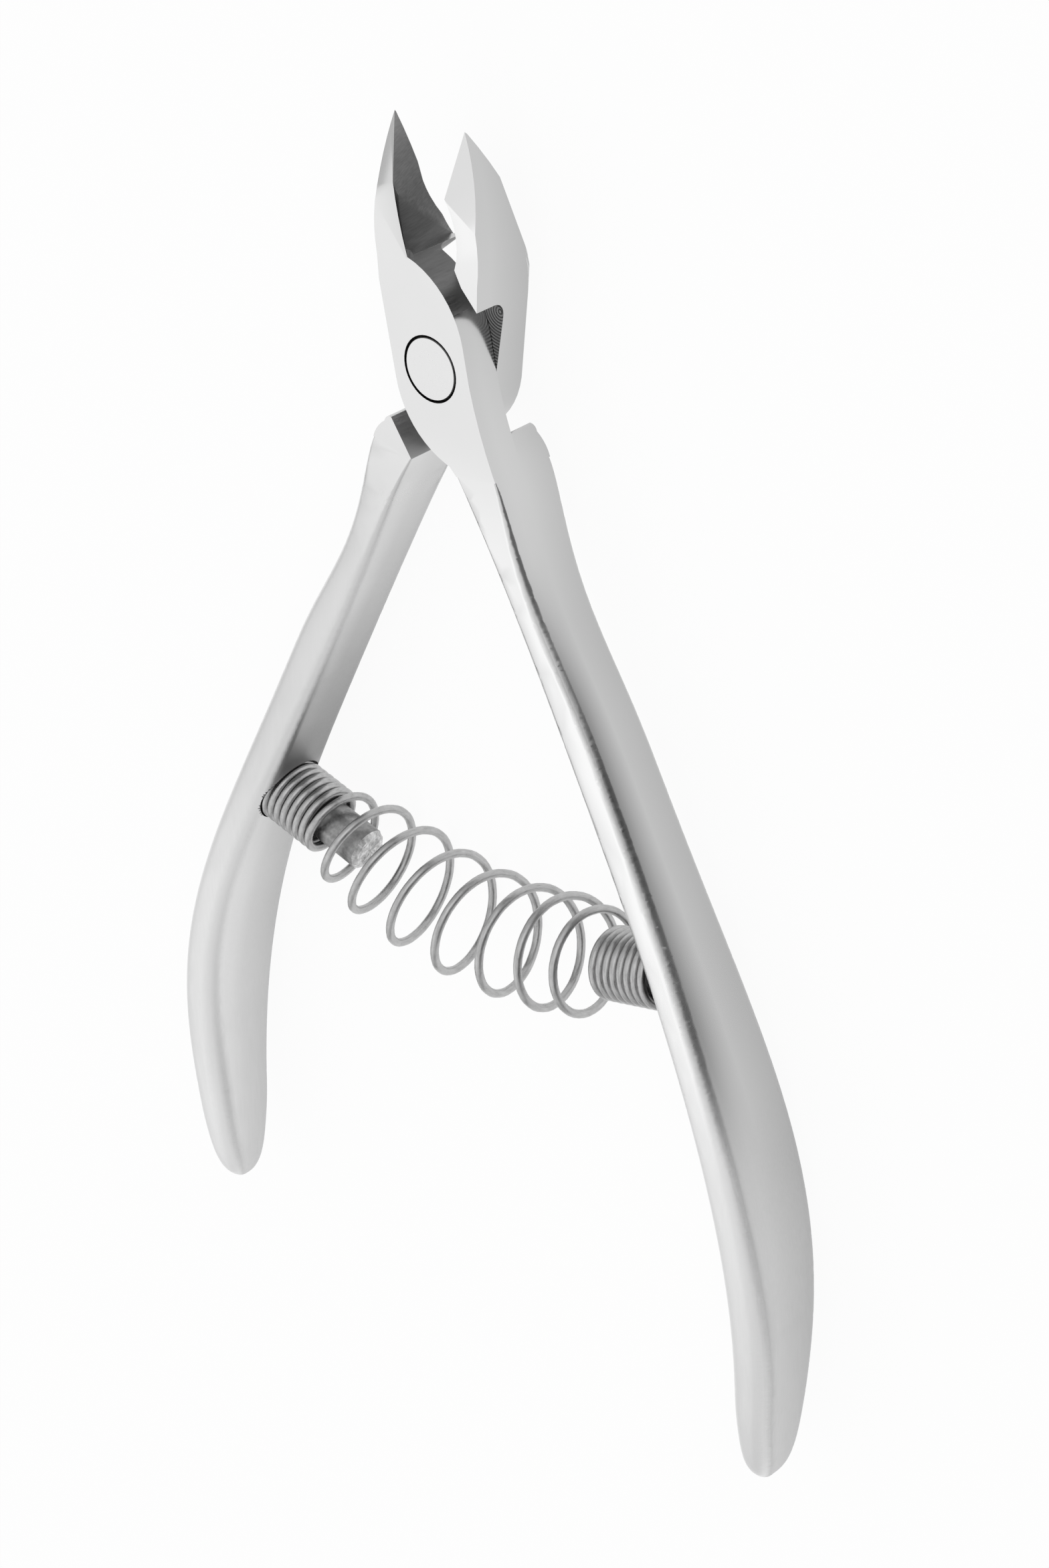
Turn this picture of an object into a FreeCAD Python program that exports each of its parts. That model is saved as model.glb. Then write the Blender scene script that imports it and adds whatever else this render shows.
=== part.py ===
"""Cuticle nipper with a lap joint and a barrel return spring.

Frame: origin on the pivot axis at the rear face of the joint, +Z out of the
front face, +Y towards the jaws, +X towards the front half's handle.
Both halves are drawn closed and then swung open about the pivot.
"""
import FreeCAD, Part
import math
import os
import Sketcher

Vector = FreeCAD.Vector

SIZES = [
    # lap joint
    ("joint_thickness", 5.9, "both halves together at the pivot"),
    ("lap_gap", 0.04, "running gap between the two lap faces"),
    ("boss_half_width", 3.75, "pivot axis to the side of the joint"),
    ("boss_curve", 7.1, "radius of the boss where it turns into jaw and handle"),
    ("boss_side_low", -1.0, "where the straight side ends below the pivot"),
    ("boss_side_high", 2.0, "where the straight side ends above the pivot"),
    ("half_opening", 10.3, "angle that each half stands open at rest"),
    # pivot pin
    ("pin_radius", 1.5, "shank, pressed into the rear half"),
    ("pin_fit", 0.03, "radial running fit in the front half"),
    ("pin_head_radius", 2.42, "flush head"),
    ("pin_head_thickness", 1.3, "flush head"),
    ("head_ring_gap", 0.18, "ring between the head and its counterbore"),
    ("rim_chamfer", 0.06, "on the head"),
    # jaws
    ("tip_reach", 18.95, "pivot axis to the tips"),
    ("edge_length", 4.85, "cutting edge, measured along the tool"),
    ("edge_rise", 0.5, "how far the edge's root stands above the joint"),
    ("tip_drop", 0.84, "how far the tip lies below the front face"),
    ("tip_height", 0.08, "what is left of the jaw at its tip"),
    ("nose_width", 2.75, "half width where the ground facet starts"),
    ("nose_setback", 1.7, "facet's start behind the root of the edge"),
    ("nose_curve", 22.0, "radius of the outline from facet to tip"),
    ("cheek_width", 3.5, "half width at the heel of the jaws"),
    ("cheek_curve", 12.0, "radius of the outline along the cheek"),
    ("heel_reach", 8.4, "pivot axis to the heel of the jaws"),
    ("front_heel_inset", 0.35, "front half's inner wall from the middle at the heel"),
    ("rear_heel_inset", 1.15, "rear half's inner wall from the middle at the heel"),
    ("front_inner_curve", 26.0, "radius of the front half's inner edge, heel to root"),
    ("rear_inner_curve", 7.5, "radius of the rear half's inner edge, heel to root"),
    ("wall_slope", 0.2, "inward lean of the jaw's inner wall"),
    ("ramp_start", 7.4, "where the front face starts to rise to the edge"),
    ("back_start", 9.8, "where the back starts to slope to the tip"),
    ("back_curve", 47.0, "radius of the back slope"),
    ("back_width", 2.2, "half width left flat on the back of the jaws"),
    ("back_bevel", 1.1, "height of the bevel along the back's outer edge"),
    ("relief_slope", 0.44, "inward lean of the hollow behind the edge"),
    ("relief_rake", 0.3, "backward lean of the hollow behind the edge"),
    ("relief_curve", 6.0, "radius of the hollow below the edge"),
    ("ridge_reach", 10.2, "where the hollow ends in a ridge"),
    ("ridge_offset", 1.3, "the ridge beyond the middle, at the edge's level"),
    ("overrun", 3.0, "how far cuts run past the work"),
    ("recess_reach", 6.5, "pivot axis to the foot of the lap recess"),
    # shoulders
    ("crotch_drop", 7.45, "pivot axis to the crotch"),
    ("crotch_offset", 0.3, "crotch from the middle"),
    ("neck_curve", 37.0, "radius of the outer side down to the neck"),
    ("shoulder_inset", 3.85, "shoulder's outer side from the middle"),
    ("shoulder_drop", 5.75, "shoulder's top below the pivot axis"),
    ("shoulder_rounding", 0.6, "between the shoulder's top and its outer side"),
    ("shoulder_curve", 3.2, "radius of the shoulder's outer side"),
    # pegs and their seats, in the closed position
    ("seat_offset", 13.55, "spot-faced seat from the middle"),
    ("seat_drop", 47.8, "spot-faced seat below the pivot axis"),
    ("peg_lean", 4.4, "downward lean of the pegs when closed"),
    ("seat_radius", 3.1, "spot face"),
    ("peg_radius", 1.8, "peg inside the spring"),
    ("left_peg_length", 10.4, "left peg above its seat"),
    ("right_peg_length", 7.6, "right peg above its seat"),
    ("peg_root_radius", 1.2, "root pressed into the handle"),
    ("peg_root_length", 1.3, "root pressed into the handle"),
    ("peg_chamfer", 0.35, "free end of the peg"),
    # spring
    ("wire_diameter", 0.69, "spring wire"),
    ("coil_clearance", 0.48, "between the peg and the close turns"),
    ("left_close_turns", 7.6, "close-wound turns on the left peg"),
    ("right_close_turns", 7.85, "close-wound turns on the right peg"),
    ("open_turns", 7.78, "open turns between the pegs"),
    ("close_pitch", 0.73, "pitch of the close-wound turns"),
    ("barrel_radius", 4.6, "mean radius of the widest turns"),
    ("left_fullness", 3.4, "how fast the turns widen from the left; higher is faster"),
    ("right_fullness", 9.3, "how fast the turns widen from the right"),
    ("pitch_swell", 0.21, "how much wider apart the middle turns stand than the mean"),
    ("wire_phase", 265, "where the open turns start, round the spring's axis"),
    ("seat_play", 0.03, "between the spring's left end and its seat"),
    ("right_slack", 1.4, "between the spring's right end and its seat"),
    ("bow_start", 12.6, "straight length of the spring's axis at each seat"),
]

# Handle stations from neck to heel, in the closed position: distance from the
# middle, distance below the pivot axis, lean, half width, half depth, corner radius.
STATIONS = [
    ("neck", (2.82, 8.2, 0.0, 1.98, 2.95, 0.20)),
    ("shank", (3.48, 10.4, 10.0, 1.80, 3.02, 0.45)),
    ("waist", (4.30, 14.0, 15.0, 1.52, 3.00, 0.70)),
    ("stem", (7.05, 23.6, 16.5, 1.50, 2.90, 0.90)),
    ("arm", (11.10, 36.6, 16.4, 1.72, 3.15, 1.10)),
    ("saddle", (15.30, 51.6, 12.6, 1.72, 3.80, 1.25)),
    ("belly", (17.70, 66.2, 3.0, 1.85, 4.20, 1.45)),
    ("palm", (16.75, 80.3, -9.6, 2.00, 3.45, 1.70)),
    ("heel", (15.05, 88.3, -14.0, 1.75, 2.65, 1.60)),
    ("cap", (14.45, 90.8, -14.5, 1.45, 2.00, 1.35)),
    ("crown", (14.12, 92.05, -14.8, 0.95, 1.25, 0.88)),
    ("end", (13.98, 92.6, -15.0, 0.40, 0.50, 0.36)),
]
STATION_SIZES = ("offset", "drop", "lean", "half_width", "half_depth", "corner")

doc = FreeCAD.newDocument("CuticleNipper")
sheet = doc.addObject("Spreadsheet::Sheet", "Sizes")


# ------------------------------------------------------------------ sizes
class Term:
    """A size: its number, and the spreadsheet expression that gives it."""

    def __init__(self, value, text):
        self.value = value
        self.text = text

    def __add__(self, other):
        other = term(other)
        return Term(self.value + other.value, f"({self.text} + {other.text})")

    def __sub__(self, other):
        other = term(other)
        return Term(self.value - other.value, f"({self.text} - {other.text})")

    def __mul__(self, other):
        other = term(other)
        return Term(self.value * other.value, f"({self.text} * {other.text})")

    def __truediv__(self, other):
        other = term(other)
        return Term(self.value / other.value, f"({self.text} / {other.text})")

    def __neg__(self):
        return Term(-self.value, f"(-1 * {self.text})")


def term(value):
    """A plain number as a Term."""
    if isinstance(value, Term):
        return value
    return Term(float(value), f"({float(value)})")


def cosine(angle):
    return Term(math.cos(math.radians(angle.value)), f"cos({angle.text})")


def sine(angle):
    return Term(math.sin(math.radians(angle.value)), f"sin({angle.text})")


class Sizes:
    """Every size in the sheet, as a Term under its alias."""


def fill_sheet():
    rows = list(SIZES)
    for name, values in STATIONS:
        for part, value in zip(STATION_SIZES, values):
            rows.append((f"{name}_{part}", value, f"handle at the {name}"))
    for row, (alias, value, meaning) in enumerate(rows, start=1):
        sheet.set(f"A{row}", alias)
        sheet.set(f"B{row}", str(value))
        sheet.set(f"C{row}", meaning)
        sheet.setAlias(f"B{row}", alias)
        setattr(Sizes, alias, Term(float(value), f"Sizes.{alias}"))
    doc.recompute()


fill_sheet()
S = Sizes

FRONT = 1     # handle on +X, jaw on -X
REAR = -1     # the other way round
LEAST_CUT = 1e-4     # cubic millimetres, under which a cut took nothing away


# ------------------------------------------------------- building blocks
def plane(body, role):
    """A body's own origin plane."""
    for feature in body.Origin.OriginFeatures:
        if feature.Role == role:
            return feature


def new_sketch(body, name, role, offset=(0, 0, 0), turn=None, axis=Vector(0, 1, 0)):
    """A sketch on an origin plane, moved by offset and turned about axis."""
    sketch = body.newObject("Sketcher::SketchObject", name)
    sketch.AttachmentSupport = [(plane(body, role), "")]
    sketch.MapMode = "FlatFace"
    moves = [term(value) for value in offset]
    base = Vector(*[move.value for move in moves])
    angle = term(0) if turn is None else turn
    sketch.AttachmentOffset = FreeCAD.Placement(base, FreeCAD.Rotation(axis, angle.value))
    for letter, move in zip("xyz", moves):
        sketch.setExpression(f"AttachmentOffset.Base.{letter}", move.text)
    if turn is not None:
        sketch.setExpression("AttachmentOffset.Rotation.Angle", angle.text)
    return sketch


def pin_point(sketch, index, end, x, y):
    """Ties one end of a curve to its place from the sketch's origin."""
    for kind, place in (("DistanceX", x), ("DistanceY", y)):
        number = sketch.addConstraint(
            Sketcher.Constraint(kind, -1, 1, index, end, place.value))
        sketch.setExpression(f"Constraints[{number}]", place.text)


def arc_between(first, last, radius):
    """Arc of at most half a turn; a positive radius runs anticlockwise."""
    chord = last - first
    rise = math.sqrt(radius ** 2 - (chord.Length / 2) ** 2)
    left = Vector(-chord.y, chord.x, 0).normalize()
    centre = (first + last) / 2 + left * math.copysign(rise, radius)
    ends = (first, last) if radius > 0 else (last, first)
    angles = [math.atan2(p.y - centre.y, p.x - centre.x) for p in ends]
    circle = Part.Circle(centre, Vector(0, 0, 1), abs(radius))
    return Part.ArcOfCircle(circle, angles[0], angles[1])


def draw(sketch, corners, hand=1):
    """Closed outline. A corner is (x, y), or (x, y, radius, bend) where an arc
    leaves it; bend 1 is anticlockwise before the outline is mirrored by hand."""
    places = [(term(c[0]) * hand, term(c[1])) for c in corners]
    points = [Vector(x.value, y.value, 0) for x, y in places]
    joints = []
    for index, corner in enumerate(corners):
        first = points[index]
        last = points[(index + 1) % len(points)]
        start, finish = 1, 2
        if len(corner) == 2:
            sketch.addGeometry(Part.LineSegment(first, last))
        else:
            bend = corner[3] * hand
            sketch.addGeometry(arc_between(first, last, corner[2].value * bend))
            if bend < 0:
                start, finish = 2, 1
            number = sketch.addConstraint(
                Sketcher.Constraint("Radius", index, corner[2].value))
            sketch.setExpression(f"Constraints[{number}]", corner[2].text)
        joints.append((start, finish))
    for index, (x, y) in enumerate(places):
        following = (index + 1) % len(places)
        sketch.addConstraint(Sketcher.Constraint(
            "Coincident", index, joints[index][1], following, joints[following][0]))
        pin_point(sketch, index, joints[index][0], x, y)


def draw_circle(sketch, radius):
    """Circle about the sketch's origin."""
    circle = Part.Circle(Vector(0, 0, 0), Vector(0, 0, 1), radius.value)
    sketch.addGeometry(circle)
    sketch.addConstraint(Sketcher.Constraint("Coincident", 0, 3, -1, 1))
    number = sketch.addConstraint(Sketcher.Constraint("Radius", 0, radius.value))
    sketch.setExpression(f"Constraints[{number}]", radius.text)


def extrude(body, kind, name, sketch, length, side="One side", reverse=False):
    """Pad or Pocket of a sketch."""
    feature = body.newObject(f"PartDesign::{kind}", name)
    feature.Profile = sketch
    feature.Type = "Length"
    feature.Length = length.value
    feature.setExpression("Length", length.text)
    feature.SideType = side
    feature.Reversed = reverse
    return feature


def cut_changes(body, before, name):
    """Stops the macro if a cut took nothing away."""
    doc.recompute()
    if body.Shape.Volume > before - LEAST_CUT:
        raise RuntimeError(f"{name} cuts nothing")


def pocket(body, name, sketch, length, side="One side", reverse=False, direction=None):
    """Pocket that must remove material; direction leans it off the sketch."""
    doc.recompute()
    before = body.Shape.Volume
    feature = extrude(body, "Pocket", name, sketch, length, side, reverse)
    if direction is not None:
        feature.UseCustomVector = True
        feature.AlongSketchNormal = False
        feature.Direction = Vector(*[term(part).value for part in direction])
        for letter, part in zip("xyz", direction):
            feature.setExpression(f"Direction.{letter}", term(part).text)
    cut_changes(body, before, name)
    return feature


# ------------------------------------------------------------ the halves
def lap_levels(side):
    """Lowest and highest level of a half's own layer in the joint."""
    middle = S.joint_thickness / 2
    if side == FRONT:
        return middle + S.lap_gap / 2, S.joint_thickness
    return term(0), middle - S.lap_gap / 2


def heel(side):
    """A half's inset at the heel of its jaw, and the curve of its inner edge."""
    if side == FRONT:
        return S.front_heel_inset, S.front_inner_curve
    return S.rear_heel_inset, S.rear_inner_curve


def add_boss(body, side):
    """Half-thickness boss round the pivot, with the roots of jaw and handle."""
    low, high = lap_levels(side)
    inset, _ = heel(side)
    sketch = new_sketch(body, "BossOutline", "XY_Plane", (0, 0, low))
    neck_out = S.neck_offset + S.neck_half_width
    neck_in = S.neck_offset - S.neck_half_width
    draw(sketch, [
        (S.boss_half_width, S.boss_side_high, S.boss_curve, 1),
        (-inset, S.heel_reach),
        (-S.cheek_width, S.heel_reach),
        (-S.boss_half_width, S.recess_reach),
        (-S.boss_half_width, S.boss_side_low, S.boss_curve, 1),
        (S.crotch_offset, -S.crotch_drop),
        (neck_in, -S.neck_drop),
        (neck_out, -S.neck_drop, S.neck_curve, -1),
        (S.boss_half_width, S.boss_side_low),
    ], side)
    extrude(body, "Pad", "Boss", sketch, high - low)


def add_jaw(body, side):
    """Full-thickness jaw, up to the lap recess."""
    root = S.tip_reach - S.edge_length
    inset, curve = heel(side)
    sketch = new_sketch(body, "JawOutline", "XY_Plane")
    draw(sketch, [
        (0, S.tip_reach, S.nose_curve, 1),
        (-S.nose_width, root - S.nose_setback, S.cheek_curve, 1),
        (-S.cheek_width, S.heel_reach),
        (-S.boss_half_width, S.recess_reach),
        (-inset, S.heel_reach, curve, -1),
        (0, root),
    ], side)
    extrude(body, "Pad", "Jaw", sketch, S.joint_thickness + S.edge_rise)


def shape_jaw_front(body, side):
    """Slanted ramp up to the root of the edge, and the ground facet beyond it."""
    root = S.tip_reach - S.edge_length
    top = S.joint_thickness
    past = S.tip_reach + S.overrun
    rise = S.edge_rise / (root - S.ramp_start)
    sketch = new_sketch(body, "RampSide", "YZ_Plane")
    draw(sketch, [
        (-S.crotch_drop, top),
        (S.ramp_start, top),
        (past, top + rise * (past - S.ramp_start)),
        (past, top + S.overrun),
        (-S.crotch_drop, top + S.overrun),
    ])
    crease = (S.nose_width * -side, root - S.nose_setback - S.ramp_start, 0)
    pocket(body, "Ramp", sketch, S.tip_reach, direction=crease)

    fall = (S.edge_rise + S.tip_drop) / S.edge_length
    sketch = new_sketch(body, "FacetSide", "YZ_Plane")
    draw(sketch, [
        (root - S.overrun, top + S.edge_rise + fall * S.overrun),
        (past, top - S.tip_drop - fall * S.overrun),
        (past, top + S.overrun),
        (root - S.overrun, top + S.overrun),
    ])
    crease = (S.nose_width * -side, -S.nose_setback, -S.edge_rise)
    pocket(body, "Facet", sketch, S.boss_half_width * 2, direction=crease)


def shape_jaw_back(body, side):
    """Back slope up to the tip, and the bevel along its outer edge."""
    tip_level = S.joint_thickness - S.tip_drop - S.tip_height
    past = S.tip_reach + S.overrun
    sketch = new_sketch(body, "BackSide", "YZ_Plane")
    draw(sketch, [
        (S.back_start, 0, S.back_curve, 1),
        (S.tip_reach, tip_level),
        (past, tip_level),
        (past, -S.overrun),
        (S.back_start, -S.overrun),
    ])
    pocket(body, "BackSlope", sketch, S.tip_reach, "Symmetric")

    climb = tip_level / (S.tip_reach - S.back_start)
    steepness = S.back_bevel / (S.boss_half_width - S.back_width)
    outside = S.boss_half_width + S.overrun
    level = -climb * S.overrun
    sketch = new_sketch(body, "BevelEnd", "XZ_Plane", (0, 0, S.overrun - S.back_start))
    draw(sketch, [
        (S.overrun / steepness - S.back_width, level - S.overrun),
        (-outside, level - S.overrun),
        (-outside, level + steepness * (outside - S.back_width)),
    ], side)
    pocket(body, "BackBevel", sketch, S.tip_reach * 2, direction=(0, 1, climb))


def lean_wall(body, side):
    """Leans the jaw's inner wall back from its front edge."""
    root = S.tip_reach - S.edge_length
    inset, curve = heel(side)
    sketch = new_sketch(body, "WallOutline", "XY_Plane", (0, 0, S.joint_thickness))
    draw(sketch, [
        (-inset, S.heel_reach, curve, -1),
        (0, root),
        (S.boss_half_width, root),
        (S.boss_half_width, S.heel_reach),
    ], side)
    lean = (-S.wall_slope * side, 0, -1)
    pocket(body, "InnerWall", sketch, S.joint_thickness * 2, direction=lean)


def hollow_jaw(body, side):
    """Hollow ground behind the cutting edge, ending in a ridge."""
    root = S.tip_reach - S.edge_length
    drop = S.edge_rise + S.tip_drop
    level = S.joint_thickness + S.edge_rise
    stretch = (S.edge_length + S.overrun) / S.edge_length
    past_x = S.relief_slope * drop * stretch
    past_y = root + (S.edge_length + S.relief_rake * drop) * stretch
    sketch = new_sketch(body, "HollowOutline", "XY_Plane", (0, 0, level))
    draw(sketch, [
        (past_x, past_y),
        (0, root, S.relief_curve, 1),
        (S.ridge_offset, S.ridge_reach),
        (S.boss_half_width, S.ridge_reach),
        (S.boss_half_width, past_y),
    ], side)
    lean = (-S.relief_slope * side, -S.relief_rake, -1)
    pocket(body, "Hollow", sketch, S.joint_thickness * 2, direction=lean)


def add_shoulder(body, side):
    """Full-thickness shoulder that the other half's boss clears."""
    neck_out = S.neck_offset + S.neck_half_width
    neck_in = S.neck_offset - S.neck_half_width
    rounding = S.shoulder_rounding
    sketch = new_sketch(body, "ShoulderOutline", "XY_Plane")
    draw(sketch, [
        (neck_in, -S.neck_drop),
        (neck_out, -S.neck_drop, S.shoulder_curve, 1),
        (S.shoulder_inset, -S.shoulder_drop - rounding, rounding, 1),
        (S.shoulder_inset - rounding, -S.shoulder_drop),
    ], side)
    extrude(body, "Pad", "Shoulder", sketch, S.joint_thickness)


def add_handle(body, side):
    """Handle lofted through rounded sections square to its middle line."""
    sketches = []
    for name, _ in STATIONS:
        offset, drop, lean, width, depth, corner = [
            getattr(S, f"{name}_{part}") for part in STATION_SIZES]
        sketch = new_sketch(
            body, f"{name.capitalize()}Section", "XZ_Plane",
            (offset * side, S.joint_thickness / 2, drop), lean * side)
        w = width - corner
        d = depth - corner
        draw(sketch, [
            (-w, -depth), (w, -depth, corner, 1),
            (width, -d), (width, d, corner, 1),
            (w, depth), (-w, depth, corner, 1),
            (-width, d), (-width, -d, corner, 1),
        ])
        sketches.append(sketch)
    loft = body.newObject("PartDesign::AdditiveLoft", "Handle")
    loft.Profile = sketches[0]
    loft.Sections = sketches[1:]
    loft.Ruled = False


def bore_seat(body, side):
    """Spot face for the spring, and the bore that holds the peg's root."""
    for name, radius, length, reverse in (
            ("SpotFace", S.seat_radius, S.seat_offset, False),
            ("PegBore", S.peg_root_radius, S.peg_root_length, True)):
        sketch = new_sketch(
            body, f"{name}Circle", "YZ_Plane",
            (-S.seat_drop, S.joint_thickness / 2, S.seat_offset * side), S.peg_lean * side)
        draw_circle(sketch, radius)
        outward = reverse if side == FRONT else not reverse
        pocket(body, name, sketch, length, reverse=outward)


def bore_pivot(body, side):
    """Pin hole; the front half also has the head's counterbore."""
    radius = S.pin_radius
    if side == FRONT:
        radius = S.pin_radius + S.pin_fit
    sketch = new_sketch(body, "PinCircle", "XY_Plane")
    draw_circle(sketch, radius)
    pocket(body, "PinHole", sketch, S.joint_thickness * 3, "Symmetric")
    if side == FRONT:
        depth = S.pin_head_thickness + S.pin_fit
        level = S.joint_thickness - depth
        sketch = new_sketch(body, "HeadCircle", "XY_Plane", (0, 0, level))
        draw_circle(sketch, S.pin_head_radius + S.head_ring_gap)
        pocket(body, "Counterbore", sketch, S.joint_thickness, reverse=True)


def make_half(name, side):
    body = doc.addObject("PartDesign::Body", name)
    body.Label = name
    add_boss(body, side)
    add_jaw(body, side)
    shape_jaw_front(body, side)
    shape_jaw_back(body, side)
    lean_wall(body, side)
    hollow_jaw(body, side)
    add_shoulder(body, side)
    add_handle(body, side)
    bore_seat(body, side)
    bore_pivot(body, side)
    opening = S.half_opening * side
    body.Placement = FreeCAD.Placement(
        Vector(0, 0, 0), FreeCAD.Rotation(Vector(0, 0, 1), opening.value))
    body.setExpression("Placement.Rotation.Angle", opening.text)
    return body


# ------------------------------------------------------- turned pieces
def revolve(name, corners):
    """Body turned about its own Z axis from a half section (radius, height)."""
    body = doc.addObject("PartDesign::Body", name)
    body.Label = name
    sketch = new_sketch(body, "HalfSection", "XZ_Plane")
    draw(sketch, corners)
    turned = body.newObject("PartDesign::Revolution", "Turned")
    turned.Profile = sketch
    turned.ReferenceAxis = (sketch, ["V_Axis"])
    turned.Angle = 360
    return body


def make_pin():
    shank_top = S.joint_thickness - S.pin_head_thickness
    rim = S.rim_chamfer
    return revolve("pivot_pin", [
        (0, 0),
        (S.pin_radius, 0),
        (S.pin_radius, shank_top),
        (S.pin_head_radius, shank_top),
        (S.pin_head_radius, S.joint_thickness - rim),
        (S.pin_head_radius - rim, S.joint_thickness),
        (0, S.joint_thickness),
    ])


def seat_place(side):
    """Seat centre with the tool at rest."""
    opening = S.half_opening
    x = S.seat_offset * cosine(opening) + S.seat_drop * sine(opening)
    y = S.seat_offset * sine(opening) - S.seat_drop * cosine(opening)
    return x * side, y


def make_peg(name, side, length):
    """Peg turned about Z, then laid along its seat's axis."""
    peg = revolve(name, [
        (0, -S.peg_root_length),
        (S.peg_root_radius, -S.peg_root_length),
        (S.peg_root_radius, 0),
        (S.peg_radius, 0),
        (S.peg_radius, length - S.peg_chamfer),
        (S.peg_radius - S.peg_chamfer, length),
        (0, length),
    ])
    x, y = seat_place(side)
    lay = FreeCAD.Rotation(Vector(0, 1, 0), -90 * side)
    dip = (S.half_opening + S.peg_lean) * side
    turn = FreeCAD.Rotation(Vector(0, 0, 1), dip.value)
    middle = S.joint_thickness / 2
    peg.Placement = FreeCAD.Placement(Vector(x.value, y.value, middle.value), turn * lay)
    peg.setExpression("Placement.Base.x", x.text)
    peg.setExpression("Placement.Base.y", y.text)
    peg.setExpression("Placement.Base.z", middle.text)
    return peg


# ----------------------------------------------------------------- spring
STEPS_PER_TURN = 12


def spring_axis():
    """Half length of the bowed middle line, and its place at a distance
    from the left seat: straight along each peg and an arc between them."""
    x, y = seat_place(FRONT)
    dip = math.radians(S.half_opening.value + S.peg_lean.value)
    straight = S.bow_start.value
    radius = (x.value - straight * math.cos(dip)) / math.sin(dip)
    half_length = straight + radius * dip
    level = S.joint_thickness.value / 2

    def place(distance):
        """Point, direction along the line and the upward normal."""
        along = min(distance, 2 * half_length - distance)
        mirror = 1 if distance <= half_length else -1
        if along <= straight:
            slope = dip
            px = -x.value + along * math.cos(dip)
            py = y.value - along * math.sin(dip)
        else:
            slope = dip - (along - straight) / radius
            px = -radius * math.sin(slope)
            foot = y.value - straight * math.sin(dip)
            py = foot + radius * (math.cos(dip) - math.cos(slope))
        point = Vector(px * mirror, py, level)
        normal = Vector(math.sin(slope) * mirror, math.cos(slope), 0)
        return point, normal

    return half_length, place


def spring_points():
    """Points along the left-hand wire's middle line, from left to right."""
    half_length, place = spring_axis()
    wire = S.wire_diameter.value / 2
    left = S.left_close_turns.value
    wide = S.open_turns.value
    right = S.right_close_turns.value
    pitch = S.close_pitch.value
    start = S.seat_play.value + wire
    finish = 2 * half_length - S.right_slack.value - wire
    open_length = finish - start - (left + right) * pitch
    inner = S.peg_radius.value + S.coil_clearance.value + wire
    swell = S.barrel_radius.value - inner
    points = []
    for step in range(int((left + wide + right) * STEPS_PER_TURN) + 1):
        turn = step / STEPS_PER_TURN
        share = min(max((turn - left) / wide, 0), 1)
        wound = min(turn, left) + max(turn - left - wide, 0)
        spread = share - S.pitch_swell.value * math.sin(2 * math.pi * share) / (2 * math.pi)
        point, normal = place(start + wound * pitch + spread * open_length)
        fullness = S.left_fullness.value if share < 0.5 else S.right_fullness.value
        radius = inner + swell * (1 - abs(2 * share - 1) ** fullness)
        angle = math.radians(S.wire_phase.value) + 2 * math.pi * (turn - left)
        up = normal * (radius * math.cos(angle))
        points.append(point + up - Vector(0, 0, radius * math.sin(angle)))
    return points


def make_spring():
    points = spring_points()
    curve = Part.BSplineCurve()
    curve.interpolate(points)
    path = Part.Wire([curve.toShape()])
    start = curve.value(curve.FirstParameter)
    along = curve.tangent(curve.FirstParameter)[0]
    section = Part.Wire([Part.Circle(start, along, S.wire_diameter.value / 2).toShape()])
    spring = doc.addObject("Part::Feature", "return_spring")
    spring.Label = "return_spring"
    spring.Shape = path.makePipeShell([section], True, True)
    spring.Placement = FreeCAD.Placement()
    return spring


# ------------------------------------------------------------- the tool
def check(parts):
    """Every object is sound and every part is one valid solid."""
    for item in doc.Objects:
        if "Invalid" in item.State or "Error" in item.State:
            raise RuntimeError(f"{item.Label} failed: {item.State}")
    for part in parts:
        shape = part.Shape
        if shape.isNull() or not shape.isValid() or len(shape.Solids) != 1:
            raise RuntimeError(f"{part.Label} is not one valid solid")


def main():
    parts = [
        make_half("front_half", FRONT),
        make_half("rear_half", REAR),
        make_pin(),
        make_peg("right_spring_peg", FRONT, S.right_peg_length),
        make_peg("left_spring_peg", REAR, S.left_peg_length),
    ]
    parts.append(make_spring())
    doc.recompute()
    check(parts)
    os.makedirs("parts", exist_ok=True)
    for part in parts:
        part.Shape.exportStep(f"parts/{part.Label}.step")
        print(part.Label, round(part.Shape.Volume, 2), part.Shape.BoundBox)


main()
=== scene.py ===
"""Finishes and fine shapes of a cuticle nipper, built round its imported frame.

Laid out as an add-on: every piece has an operator, and a panel lists them.
Lengths are in metres, in the frame's own axes: the pivot axis is Z, the
jaws point to +Y, and the front half's handle is on +X.
"""
import math
import random

import bmesh
import bpy
from bpy.props import FloatProperty, FloatVectorProperty, PointerProperty
from mathutils import Matrix, Vector


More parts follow.
